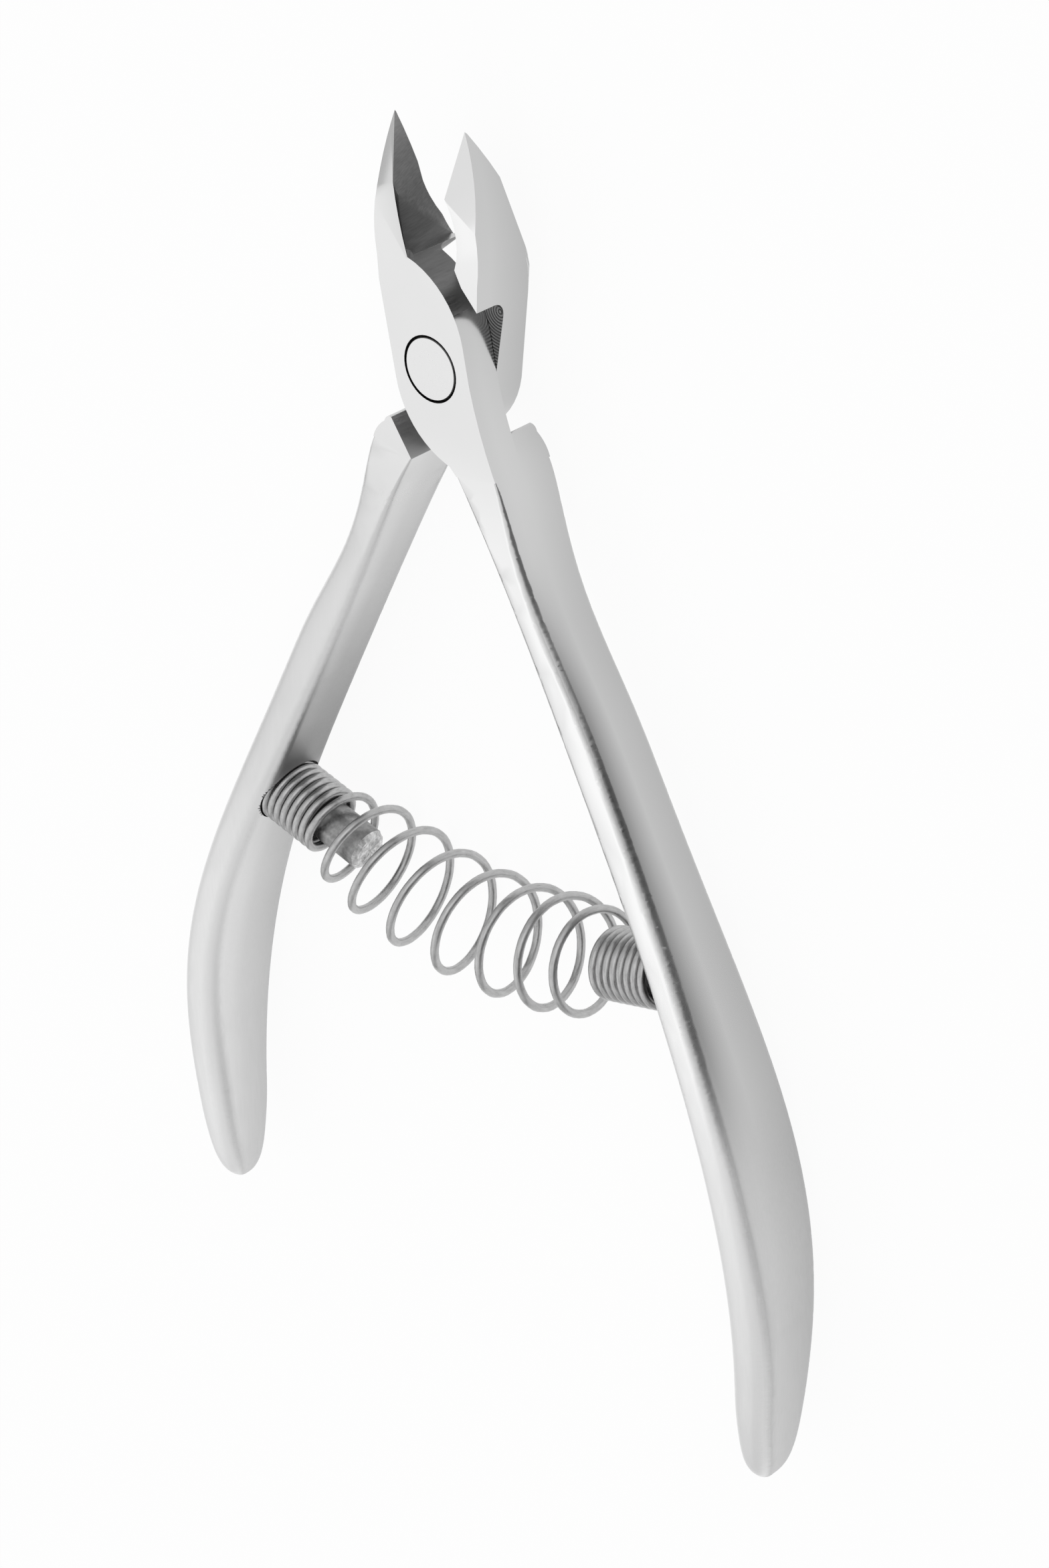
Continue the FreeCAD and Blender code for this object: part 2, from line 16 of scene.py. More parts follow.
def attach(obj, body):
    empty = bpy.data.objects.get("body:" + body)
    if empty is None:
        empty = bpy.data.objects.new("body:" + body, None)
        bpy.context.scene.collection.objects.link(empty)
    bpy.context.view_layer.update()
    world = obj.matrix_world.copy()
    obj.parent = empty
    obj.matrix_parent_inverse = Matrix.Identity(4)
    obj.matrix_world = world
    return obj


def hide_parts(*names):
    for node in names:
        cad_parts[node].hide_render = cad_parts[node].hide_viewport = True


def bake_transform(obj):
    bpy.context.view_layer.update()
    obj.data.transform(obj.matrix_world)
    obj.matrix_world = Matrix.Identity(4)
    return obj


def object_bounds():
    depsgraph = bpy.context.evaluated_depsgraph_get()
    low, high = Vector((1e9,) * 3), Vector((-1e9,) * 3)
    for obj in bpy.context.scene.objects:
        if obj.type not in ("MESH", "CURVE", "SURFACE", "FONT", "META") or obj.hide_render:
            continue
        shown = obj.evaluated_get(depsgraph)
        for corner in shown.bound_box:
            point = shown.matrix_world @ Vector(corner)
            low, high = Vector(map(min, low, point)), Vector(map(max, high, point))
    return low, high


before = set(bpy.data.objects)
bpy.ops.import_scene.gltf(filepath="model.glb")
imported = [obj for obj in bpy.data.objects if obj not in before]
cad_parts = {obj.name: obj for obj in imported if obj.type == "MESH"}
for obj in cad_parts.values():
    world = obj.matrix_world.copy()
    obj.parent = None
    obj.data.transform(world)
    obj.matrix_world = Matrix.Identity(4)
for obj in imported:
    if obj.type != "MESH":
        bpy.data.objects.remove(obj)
CAD_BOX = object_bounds()

bl_info = {
    "name": "Cuticle Nipper",
    "version": (1, 0, 0),
    "blender": (4, 5, 0),
    "location": "View3D > Sidebar > Nipper",
    "description": "Finishes and fine shapes for a lap-joint cuticle nipper",
    "category": "Object",
}

MM = 0.001
FRONT = 1      # handle on +X, jaw on -X
REAR = -1      # the other way round

# Along a half in the closed frame: its flats are joined above HEAD_END, and its
# handle, below HANDLE_START, has the exact shading of the CAD node.
HEAD_END = -9.5 * MM
HANDLE_START = -8.45 * MM
HEAD_GROUP = "head"
HANDLE_GROUP = "handle"

MERGE = 1e-6                        # corners nearer than this are one
FLAT_ANGLE = math.radians(0.1)      # faces nearer than this lie in one flat
STEEL_ANGLE = math.radians(30)      # sharper edges of the steel stay sharp
WIRE_ANGLE = math.radians(50)

# Material slots of a half: satin faces with painted reflections and shade, burnished edges
# with a painted highlight, and wall, spot-face and recess slots with painted shade.
SATIN, BURNISHED, WALL, SPOT_FACE, RECESS = range(5)


# ------------------------------------------------------------- properties
class NipperFinish(bpy.types.PropertyGroup):
    """Greys and edge sizes of the steel."""

    face_grey: FloatProperty(
        name="Face grey", description="Grey of the pin's faced head",
        default=0.76, min=0.0, max=1.0)
    edge_width: FloatProperty(
        name="Edge width", description="Width of the burnished edges",
        default=0.09 * MM, min=0.0, unit="LENGTH", precision=5)
    edge_angle: FloatProperty(
        name="Edge angle", description="Edges sharper than this are burnished",
        default=math.radians(28), subtype="ANGLE")


class NipperJoint(bpy.types.PropertyGroup):
    """Places on the halves, as drawn closed."""

    opening: FloatProperty(
        name="Opening", description="Angle that each half stands open at rest",
        default=math.radians(10.3), subtype="ANGLE")
    thickness: FloatProperty(
        name="Thickness", description="Both halves together at the pivot",
        default=5.9 * MM, unit="LENGTH", precision=5)
    head_radius: FloatProperty(
        name="Head radius", description="Radius of the pin's flush head",
        default=2.42 * MM, unit="LENGTH", precision=5)
    tip_reach: FloatProperty(
        name="Tip reach", description="Pivot axis to the tips",
        default=18.95 * MM, unit="LENGTH", precision=5)
    edge_length: FloatProperty(
        name="Edge length", description="Length of the cutting edges",
        default=4.85 * MM, unit="LENGTH", precision=5)


class NipperSpring(bpy.types.PropertyGroup):
    """The pegs and the spring between them."""

    seat_offset: FloatProperty(
        name="Seat offset", description="Spot-faced seat from the middle, closed",
        default=13.55 * MM, unit="LENGTH", precision=5)
    seat_drop: FloatProperty(
        name="Seat drop", description="Spot-faced seat below the pivot axis",
        default=47.8 * MM, unit="LENGTH", precision=5)
    seat_radius: FloatProperty(
        name="Seat radius", description="Radius of the spot faces",
        default=3.1 * MM, unit="LENGTH", precision=5)
    peg_lean: FloatProperty(
        name="Peg lean", description="Downward lean of the pegs when closed",
        default=math.radians(4.4), subtype="ANGLE")
    peg_radius: FloatProperty(
        name="Peg radius", description="Radius of the pegs",
        default=1.8 * MM, unit="LENGTH", precision=5)
    left_peg: FloatProperty(
        name="Left peg", description="Length of the left peg above its seat",
        default=10.4 * MM, unit="LENGTH", precision=5)
    right_peg: FloatProperty(
        name="Right peg", description="Length of the right peg above its seat",
        default=7.6 * MM, unit="LENGTH", precision=5)
    chamfer: FloatProperty(
        name="Chamfer", description="Rough chamfer on the pegs' free ends",
        default=0.35 * MM, unit="LENGTH", precision=5)
    wire: FloatProperty(
        name="Wire", description="Diameter of the spring wire",
        default=0.69 * MM, unit="LENGTH", precision=5)
    clearance: FloatProperty(
        name="Clearance", description="Between a peg and the close turns",
        default=0.48 * MM, unit="LENGTH", precision=5)
    barrel: FloatProperty(
        name="Barrel", description="Mean radius of the widest turns",
        default=4.6 * MM, unit="LENGTH", precision=5)
    left_fullness: FloatProperty(
        name="Left fullness", description="How fast the turns widen from the left",
        default=3.4, min=1.0)
    right_fullness: FloatProperty(
        name="Right fullness", description="How fast they widen from the right",
        default=9.3, min=1.0)
    pitch_swell: FloatProperty(
        name="Pitch swell", description="How much wider apart the middle turns stand",
        default=0.21, min=0.0, max=0.9)
    pitch: FloatProperty(
        name="Close pitch", description="Pitch of the close-wound turns",
        default=0.73 * MM, unit="LENGTH", precision=5)
    left_turns: FloatProperty(
        name="Left turns", description="Close turns on the left peg", default=7.6)
    open_turns: FloatProperty(
        name="Open turns", description="Open turns between the pegs", default=7.78)
    right_turns: FloatProperty(
        name="Right turns", description="Close turns on the right peg", default=7.85)
    phase: FloatProperty(
        name="Phase", description="Where the open turns start, round the axis",
        default=math.radians(265), subtype="ANGLE")
    left_play: FloatProperty(
        name="Left play", description="Between the spring's left end and its seat",
        default=0.03 * MM, unit="LENGTH", precision=5)
    right_slack: FloatProperty(
        name="Right slack", description="Between the spring's right end and its seat",
        default=1.4 * MM, unit="LENGTH", precision=5)
    bow_start: FloatProperty(
        name="Bow start", description="Straight length of the axis at each seat",
        default=12.6 * MM, unit="LENGTH", precision=5)
    wire_grey: FloatProperty(
        name="Wire grey", description="Grey of the drawn wire",
        default=0.50, min=0.0, max=1.0)


class NipperStage(bpy.types.PropertyGroup):
    """Floor, lamps and camera."""

    floor_grey: FloatProperty(
        name="Floor grey", description="Grey of the floor",
        default=0.93, min=0.0, max=1.0)
    floor_size: FloatProperty(
        name="Floor size", description="Side of the square floor",
        default=6.0, unit="LENGTH")
    key_level: FloatProperty(
        name="Key level", description="Brightness of the key panel",
        default=0.80, min=0.0)
    fill_level: FloatProperty(
        name="Fill level", description="Brightness of the fill panel",
        default=1.2, min=0.0)
    sky_level: FloatProperty(
        name="Sky level", description="Brightness overhead", default=0.9, min=0.0)
    horizon_level: FloatProperty(
        name="Horizon level", description="Brightness at the horizon",
        default=0.5, min=0.0)
    dark_level: FloatProperty(
        name="Dark level", description="Brightness of the dark side of the room",
        default=0.2, min=0.0)
    floor_glow: FloatProperty(
        name="Floor glow", description="Share of plain white in the floor as seen",
        default=0.93, min=0.0, max=1.0)
    camera_place: FloatVectorProperty(
        name="Camera place", description="Where the camera stands",
        default=(0.17343, 0.11196, 0.18024), subtype="TRANSLATION")
    camera_aim: FloatVectorProperty(
        name="Camera aim", description="What it looks at",
        default=(0.00560, -0.03405, 0.00295), subtype="TRANSLATION")
    camera_up: FloatVectorProperty(
        name="Camera up", description="The way that is up in its view",
        default=(-0.33519, 0.85797, -0.38928), subtype="DIRECTION")
    lens: FloatProperty(
        name="Lens", description="Focal length for a 36 mm high sensor",
        default=85.36, min=1.0, subtype="DISTANCE_CAMERA")


# --------------------------------------------------------- modelling helps
def deselect():
    """Leaves nothing selected, CAD nodes among them."""
    bpy.ops.object.select_all(action="DESELECT")


def pick(obj):
    """Makes obj the only selected and the active object."""
    deselect()
    obj.select_set(True)
    bpy.context.view_layer.objects.active = obj


def merge_doubles():
    """Joins corners that lie on one place, in edit mode."""
    bpy.ops.mesh.select_all(action="SELECT")
    bpy.ops.mesh.remove_doubles(threshold=MERGE)


def choose_faces(piece, chosen):
    """Selects the faces that chosen picks and no others, in edit mode."""
    bpy.ops.mesh.select_mode(type="FACE")
    mesh = bmesh.from_edit_mesh(piece.data)
    for face in mesh.faces:
        face.select_set(chosen(face))
    bmesh.update_edit_mesh(piece.data)


def apply_modifier(piece, kind, **settings):
    """Adds a modifier with its settings and applies it."""
    pick(piece)
    bpy.ops.object.modifier_add(type=kind)
    modifier = piece.modifiers[-1]
    for key, value in settings.items():
        setattr(modifier, key, value)
    bpy.ops.object.modifier_apply(modifier=modifier.name)


def merged_copy(node, name, in_flat=lambda place: True):
    """A CAD node's loose triangles as one closed skin in its own object. The
    triangles of a flat are joined where in_flat picks the face by its middle."""
    piece = bpy.data.objects.new(name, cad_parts[node].data.copy())
    bpy.context.scene.collection.objects.link(piece)
    piece.data.materials.clear()
    pick(piece)
    bpy.ops.object.mode_set(mode="EDIT")
    bpy.ops.mesh.select_all(action="SELECT")
    bpy.ops.mesh.customdata_custom_splitnormals_clear()
    merge_doubles()
    choose_faces(piece, lambda face: in_flat(face.calc_center_median()))
    bpy.ops.mesh.dissolve_limited(angle_limit=FLAT_ANGLE, delimit={"NORMAL"})
    bpy.ops.object.mode_set(mode="OBJECT")
    return piece


def place_piece(piece, body, node):
    """Names what a finished piece rides on and what it replaces."""
    pick(piece)
    bpy.ops.object.transform_apply(location=True, rotation=True, scale=True)
    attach(piece, body)
    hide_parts(node)


def closed_frame(side):
    """Turns a point or normal at rest into the closed half, handle on +X."""
    turn = Matrix.Rotation(-bpy.context.scene.nipper_joint.opening * side, 3, "Z")
    return Matrix.Diagonal((side, 1, 1)) @ turn


def middle_of(edge):
    return (edge.verts[0].co + edge.verts[1].co) / 2


def round_edges(piece, width, segments, chosen):
    """Rounds the edges that chosen picks, given each with its signed angle."""
    pick(piece)
    bpy.ops.object.mode_set(mode="EDIT")
    bpy.ops.mesh.select_mode(type="EDGE")
    bpy.ops.mesh.select_all(action="DESELECT")
    mesh = bmesh.from_edit_mesh(piece.data)
    count = 0
    for edge in mesh.edges:
        if len(edge.link_faces) != 2:
            continue
        if chosen(edge, edge.calc_face_angle_signed(0)):
            edge.select_set(True)
            count += 1
    if not count:
        raise RuntimeError(f"{piece.name} has no edge to round")
    bmesh.update_edit_mesh(piece.data)
    bpy.ops.mesh.bevel(
        offset=width, offset_type="OFFSET", segments=segments, affect="EDGES",
        clamp_overlap=False, loop_slide=True)
    merge_doubles()
    bpy.ops.object.mode_set(mode="OBJECT")


def burnish_edges(piece, chosen):
    """Narrow bevel in the BURNISHED slot on the outward edges that chosen picks
    by the place of their middle."""
    finish = bpy.context.scene.nipper_finish
    mesh = bmesh.new()
    mesh.from_mesh(piece.data)
    weight = mesh.edges.layers.float.new("bevel_weight_edge")
    for edge in mesh.edges:
        angle = edge.calc_face_angle_signed(0)
        if angle > finish.edge_angle and chosen(middle_of(edge)):
            edge[weight] = 1.0
    mesh.to_mesh(piece.data)
    mesh.free()
    apply_modifier(
        piece, "BEVEL", limit_method="WEIGHT", width=finish.edge_width, segments=2,
        material=BURNISHED, use_clamp_overlap=True)


def shave(piece, to_closed, flats):
    """Cuts flats on the outside of a half's jaw: each has its outward normal and
    its distance from the origin, in the closed frame."""
    to_open = to_closed.inverted()

    def on_jaw(face):
        place = to_closed @ face.calc_center_median()
        return place.x < JAW_INSIDE and place.y > JAW_ROOT

    pick(piece)
    bpy.ops.object.mode_set(mode="EDIT")
    for normal, distance in flats:
        normal = Vector(normal).normalized()
        choose_faces(piece, on_jaw)
        bpy.ops.mesh.bisect(
            plane_co=to_open @ (normal * distance), plane_no=to_open @ normal,
            use_fill=True, clear_outer=True)
        merge_doubles()
        bpy.ops.mesh.normals_make_consistent(inside=False)
    bpy.ops.object.mode_set(mode="OBJECT")


def soften(piece, node=None, on_handle=lambda place: False):
    """Smooth shading up to an angle, with flat faces kept flat. Where on_handle
    picks a vertex by its place, it takes the CAD node's exact normals."""
    pick(piece)
    bpy.ops.object.shade_smooth_by_angle(angle=STEEL_ANGLE)
    mesh = bmesh.new()
    mesh.from_mesh(piece.data)
    for edge in mesh.edges:
        if {face.material_index for face in edge.link_faces} == {SATIN, WALL}:
            edge.smooth = False
    mesh.to_mesh(piece.data)
    mesh.free()
    head = piece.vertex_groups.new(name=HEAD_GROUP)
    handle = piece.vertex_groups.new(name=HANDLE_GROUP)
    for vertex in piece.data.vertices:
        part = handle if on_handle(vertex.co) else head
        part.add([vertex.index], 1.0, "REPLACE")
    if node:
        apply_modifier(
            piece, "DATA_TRANSFER", object=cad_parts[node], use_loop_data=True,
            data_types_loops={"CUSTOM_NORMAL"}, loop_mapping="POLYINTERP_NEAREST",
            vertex_group=HANDLE_GROUP)
    apply_modifier(piece, "WEIGHTED_NORMAL", keep_sharp=True, vertex_group=HEAD_GROUP)
    piece.vertex_groups.clear()


# ------------------------------------------------------------ node groups
def new_group(name, inputs, outputs):
    """Shader node group with named float or vector sockets."""
    group = bpy.data.node_groups.new(name, "ShaderNodeTree")
    for label, kind, value in inputs:
        socket = group.interface.new_socket(
            name=label, in_out="INPUT", socket_type=f"NodeSocket{kind}")
        socket.default_value = value
    for label, kind in outputs:
        group.interface.new_socket(
            name=label, in_out="OUTPUT", socket_type=f"NodeSocket{kind}")
    return group, group.nodes.new("NodeGroupInput"), group.nodes.new("NodeGroupOutput")


def feed(tree, socket, value):
    """Gives a socket a link or a number, which on a colour is a grey."""
    if isinstance(value, bpy.types.NodeSocket):
        tree.links.new(value, socket)
    elif socket.type == "RGBA":
        socket.default_value = (value, value, value, 1)
    else:
        socket.default_value = value


def maths(tree, operation, *values):
    """Result of one step of arithmetic on sockets or numbers."""
    node = tree.nodes.new("ShaderNodeMath")
    node.operation = operation
    for socket, value in zip(node.inputs, values):
        feed(tree, socket, value)
    return node.outputs["Value"]


def vector_maths(tree, operation, first, second):
    """Outputs of one step of arithmetic on vectors."""
    node = tree.nodes.new("ShaderNodeVectorMath")
    node.operation = operation
    feed(tree, node.inputs[0], first)
    feed(tree, node.inputs[1], second)
    return node.outputs


def coordinates(tree, label="Object"):
    """Place on the piece, or another of its texture coordinates."""
    return tree.nodes.new("ShaderNodeTexCoord").outputs[label]


def axes(tree, label="Object"):
    """X, Y and Z of a texture coordinate."""
    node = tree.nodes.new("ShaderNodeSeparateXYZ")
    tree.links.new(coordinates(tree, label), node.inputs["Vector"])
    return node.outputs


def noise(tree, place, **settings):
    """Noise at a place; what isn't given stays at the node's own values."""
    node = tree.nodes.new("ShaderNodeTexNoise")
    tree.links.new(place, node.inputs["Vector"])
    for label, value in settings.items():
        feed(tree, node.inputs[label], value)
    return node.outputs["Fac"]


def satin_grain_group():
    """Fine linished lines and slow clouds on the steel."""
    group, source, result = new_group(
        "satin_grain",
        [("Stretch", "Vector", (9000, 500, 9000)), ("Cloud Scale", "Float", 160.0)],
        [("Grain", "Float"), ("Cloud", "Float")])
    place = coordinates(group)
    stretched = vector_maths(group, "MULTIPLY", place, source.outputs["Stretch"])
    grain = noise(group, stretched["Vector"], Scale=1.0, Detail=4.0)
    cloud = noise(group, place, Scale=source.outputs["Cloud Scale"], Detail=3.0)
    group.links.new(grain, result.inputs["Grain"])
    group.links.new(cloud, result.inputs["Cloud"])
    return group


def tool_arcs_group():
    """Arcs left by a cutter that turned about an axis through Centre."""
    group, source, result = new_group(
        "tool_arcs",
        [("Centre", "Vector", (0, 0, 0)), ("Arcs", "Float", 26000.0)],
        [("Arcs", "Float")])
    place = coordinates(group)
    reach = vector_maths(group, "DISTANCE", place, source.outputs["Centre"])
    phase = maths(group, "MULTIPLY", reach["Value"], source.outputs["Arcs"])
    arcs = maths(group, "MULTIPLY", maths(group, "SINE", phase),
                 noise(group, place, Scale=1800.0))
    group.links.new(arcs, result.inputs["Arcs"])
    return group


# -------------------------------------------------------------- materials
def once(library, name, maker):
    """What maker builds under a name, built only the first time."""
    return library.get(name) or maker()


def steel(name):
    """Bare metal: returns the material, its tree and its Principled node."""
    material = bpy.data.materials.new(name)
    material.use_nodes = True
    shader = material.node_tree.nodes["Principled BSDF"]
    shader.inputs["Metallic"].default_value = 1.0
    return material, material.node_tree, shader


def dress(tree, shader, colour, roughness):
    """Gives a steel its colour and its polish."""
    tree.links.new(colour, shader.inputs["Base Color"])
    tree.links.new(roughness, shader.inputs["Roughness"])


def bump(tree, shader, height, strength, distance):
    """Fine relief, distance metres deep at full strength."""
    node = tree.nodes.new("ShaderNodeBump")
    node.inputs["Strength"].default_value = strength
    node.inputs["Distance"].default_value = distance
    tree.links.new(height, node.inputs["Height"])
    tree.links.new(node.outputs["Normal"], shader.inputs["Normal"])


def placed_group(tree, name, maker, settings):
    """A shared node group with this material's own values."""
    node = tree.nodes.new("ShaderNodeGroup")
    node.node_tree = once(bpy.data.node_groups, name, maker)
    for label, value in settings.items():
        node.inputs[label].default_value = value
    return node.outputs


def satin_grain(tree, stretch=(9000, 500, 9000), cloud_scale=160.0):
    """The steel's grain, whose lines run where stretch is least."""
    return placed_group(
        tree, "satin_grain", satin_grain_group,
        {"Stretch": stretch, "Cloud Scale": cloud_scale})


def remap(tree, value, low, high, from_low=0.3, from_high=0.7):
    """Value stretched from one range to another."""
    node = tree.nodes.new("ShaderNodeMapRange")
    node.inputs["From Min"].default_value = from_low
    node.inputs["From Max"].default_value = from_high
    node.inputs["To Min"].default_value = low
    node.inputs["To Max"].default_value = high
    tree.links.new(value, node.inputs["Value"])
    return node.outputs["Result"]


def mix(tree, factor, first, second, kind="MIX"):
    """Colour between two, each a socket or a grey's number."""
    node = tree.nodes.new("ShaderNodeMix")
    node.data_type = "RGBA"
    node.blend_type = kind
    feed(tree, node.inputs["Factor"], factor)
    feed(tree, node.inputs["A"], first)
    feed(tree, node.inputs["B"], second)
    return node.outputs["Result"]


def multiply(tree, first, *others):
    """Product of colours."""
    for other in others:
        first = mix(tree, 1.0, first, other, "MULTIPLY")
    return first


def tone_along(tree, height, stops):
    """Grey that changes softly along Y, from stops of (millimetres, grey)."""
    first, last = stops[0][0], stops[-1][0]
    place = remap(tree, height, 0, 1, first * MM, last * MM)
    ramp = tree.nodes.new("ShaderNodeValToRGB")
    ramp.color_ramp.interpolation = "EASE"
    elements = ramp.color_ramp.elements
    while len(elements) < len(stops):
        elements.new(0.5)
    for element, (reach, level) in zip(elements, stops):
        element.position = (reach - first) / (last - first)
        element.color = (level, level, level, 1)
    tree.links.new(place, ramp.inputs["Fac"])
    return ramp.outputs["Color"]


# Greys along the ground walls of joint and jaws: painted shade, darkest as a painted
# shadow round the pin and in the jaws' hollows.
WALL_SHADE_TONES = (
    (-9, 0.60), (-5.2, 0.60), (-3, 0.10), (3, 0.10), (4.2, 0.45), (5.5, 0.36),
    (7.6, 0.15), (9.8, 0.08), (11.5, 0.07), (14.5, 0.11), (19, 0.22))

# Greys along each half, from the handle's end to the tip: painted reflections on the front
# faces and painted shade on the sides, darkest on the rear half near the spring's seat.
FLAT_TONES = {
    FRONT: ((-89, 0.76), (-60, 0.82), (-40, 0.86), (-14, 0.84), (-4, 0.74), (19, 0.76)),
    REAR: ((-89, 0.84), (-60, 0.80), (-36, 0.70), (-12, 0.70), (-4, 0.74), (19, 0.84)),
}
SIDE_TONES = {
    FRONT: ((-89, 0.72), (-70, 0.66), (-44, 0.58), (-20, 0.60), (-8, 0.66), (19, 0.50)),
    REAR: ((-89, 0.74), (-56, 0.76), (-46, 0.68), (-41, 0.38), (-16, 0.64), (19, 0.58)),
}

# Painted reflections on the rounded edges of the handles, and how far the side below the
# front edge is painted towards EDGE_LEVEL times its own grey: a painted dark reflection
# band on the front half, a painted highlight on the rear.
RIDGE_TONES = {
    FRONT: ((-89, 0.95), (-58, 0.95), (-45, 0.34), (-30, 0.24), (-9, 0.55), (19, 0.70)),
    REAR: ((-89, 0.95), (-56, 0.92), (-30, 0.90), (-14, 0.84), (-9, 0.76), (19, 0.80)),
}
EDGE_SHADE = {
    FRONT: ((-89, 0.0), (-60, 0.0), (-45, 0.7), (-24, 0.9), (-12, 0.1), (19, 0.0)),
    REAR: ((-89, 0.2), (-56, 0.4), (-42, 0.6), (-24, 0.8), (-12, 0.2), (19, 0.0)),
}
EDGE_LEVEL = {FRONT: 0.30, REAR: 1.25}

# Roughness along each half, from matt to bright polish.
POLISH = {
    FRONT: ((-89, 0.60), (-60, 0.54), (-46, 0.30), (-30, 0.20), (-8, 0.20), (19, 0.22)),
    REAR: ((-89, 0.56), (-60, 0.54), (-20, 0.44), (-8, 0.24), (0, 0.20), (19, 0.22)),
}


def painted_light_face_steel(side):
    """Satin-polished faces: grain and roughness, with painted reflections along the faces
    and rounded edges, and painted shade on the sides, which darken towards the back."""
    material, tree, shader = steel(
        "satin_steel_painted_light_front" if side == FRONT else "satin_steel_painted_light_rear")
    grain = satin_grain(tree, (9000, 300, 9000))
    flat = remap(tree, axes(tree, "Normal")["Z"], 0, 1, 0.35, 0.95)
    place = axes(tree)
    tones = {
        name: tone_along(tree, place["Y"], stops[side]) for name, stops in (
            ("flat", FLAT_TONES), ("side", SIDE_TONES), ("ridge", RIDGE_TONES),
            ("shade", EDGE_SHADE), ("polish", POLISH))}
    # Painted shade: the sides darken towards the back, nearer the floor.
    depth = remap(tree, place["Z"], 0.78, 1.0, -0.5 * MM, 4.5 * MM)
    near = remap(tree, place["Z"], 0.0, 1.0, 3.2 * MM, 5.6 * MM)
    # Painted reflection below the front edge: a dark band on the front half, a lighter
    # ridge on the rear.
    edge = mix(tree, multiply(tree, tones["shade"], near), 1.0, EDGE_LEVEL[side])
    faces = mix(tree, flat, multiply(tree, tones["side"], depth, edge), tones["flat"])
    # Painted reflections on the rounded edges between faces and sides.
    ridge = remap(tree, maths(tree, "PINGPONG", flat, 0.5), 0, 1, 0.0, 0.4)
    clouds = mix(tree, grain["Cloud"], 0.97, 1.0)
    lines = remap(tree, grain["Grain"], 0.86, 1.0)
    dress(
        tree, shader, multiply(tree, mix(tree, ridge, faces, tones["ridge"]), clouds),
        multiply(tree, tones["polish"], lines))
    bump(tree, shader, grain["Grain"], 0.05, 0.001 * MM)
    return material


def edge_steel():
    """Burnished edges: lower roughness, and a brighter grey than the faces beside them as
    a painted highlight.
    """
    material, tree, shader = steel("burnished_edge_painted_highlight")
    grain = satin_grain(tree)
    dress(tree, shader, mix(tree, grain["Cloud"], 0.86, 0.96),
          remap(tree, grain["Grain"], 0.08, 0.18))
    return material


def painted_shade_wall_steel():
    """Ground walls of joint and jaws: ground grain and roughness, with painted shade that
    is darkest in the jaws' hollows and round the pin.
    """
    material, tree, shader = steel("ground_wall_painted_shade")
    grain = satin_grain(tree, (2500, 9000, 700))
    dress(tree, shader, tone_along(tree, axes(tree)["Y"], WALL_SHADE_TONES),
          remap(tree, grain["Grain"], 0.36, 0.52))
    bump(tree, shader, grain["Grain"], 0.15, 0.006 * MM)
    return material


def cut_steel_painted_shade(name, centre, light, dark):
    """As-machined recesses with the cutter's arcs, painted dark as the shade in the
    recess.
    """
    material, tree, shader = steel(name)
    arcs = placed_group(tree, "tool_arcs", tool_arcs_group, {"Centre": centre})["Arcs"]
    dress(tree, shader, remap(tree, arcs, dark, light, -0.5, 0.5),
          remap(tree, arcs, 0.3, 0.5, -0.5, 0.5))
    bump(tree, shader, arcs, 0.5, 0.02 * MM)
    return material


def pin_steel():
    """Flush head, faced on the lathe."""
    grey = bpy.context.scene.nipper_finish.face_grey
    material, tree, shader = steel("faced_pin")
    grain = satin_grain(tree, (5200, 5200, 5200))
    dress(tree, shader, mix(tree, grain["Cloud"], grey * 0.95, grey),
          remap(tree, grain["Grain"], 0.18, 0.28))
    return material


def peg_steel(name, light, dark, strength):
    """Turned pegs: matt grey, with pits and drag marks."""
    material, tree, shader = steel(name)
    grain = satin_grain(tree, (5000, 5000, 5000), 3200.0)
    dress(tree, shader, remap(tree, grain["Cloud"], dark, light),
          remap(tree, grain["Grain"], 0.3, 0.5))
    bump(tree, shader, grain["Grain"], strength, 0.02 * MM)
    return material


def wire_steel():
    """Drawn wire: streaks along the wire, on its own UV map."""
    grey = bpy.context.scene.nipper_spring.wire_grey
    material, tree, shader = steel("drawn_wire")
    place = tree.nodes.new("ShaderNodeUVMap")
    place.uv_map = "UVMap"
    stretch = tree.nodes.new("ShaderNodeMapping")
    stretch.inputs["Scale"].default_value = (600, 7, 1)
    tree.links.new(place.outputs["UV"], stretch.inputs["Vector"])
    streaks = noise(
        tree, stretch.outputs["Vector"], Scale=1.0, Detail=5.0, Roughness=0.7)
    dress(tree, shader, remap(tree, streaks, grey * 0.72, grey * 1.18),
          remap(tree, streaks, 0.24, 0.42))
    bump(tree, shader, streaks, 0.3, 0.02 * MM)
    return material


# -------------------------------------------------------------- the halves
def seat_centre(side):
    """Middle of a seat at rest."""
    spring = bpy.context.scene.nipper_spring
    joint = bpy.context.scene.nipper_joint
    closed = Vector((spring.seat_offset * side, -spring.seat_drop, joint.thickness / 2))
    return Matrix.Rotation(joint.opening * side, 3, "Z") @ closed


def peg_direction(side):
    """Along a peg, out of its seat."""
    spring = bpy.context.scene.nipper_spring
    dip = bpy.context.scene.nipper_joint.opening + spring.peg_lean
    return Vector((-side * math.cos(dip), -math.sin(dip), 0))


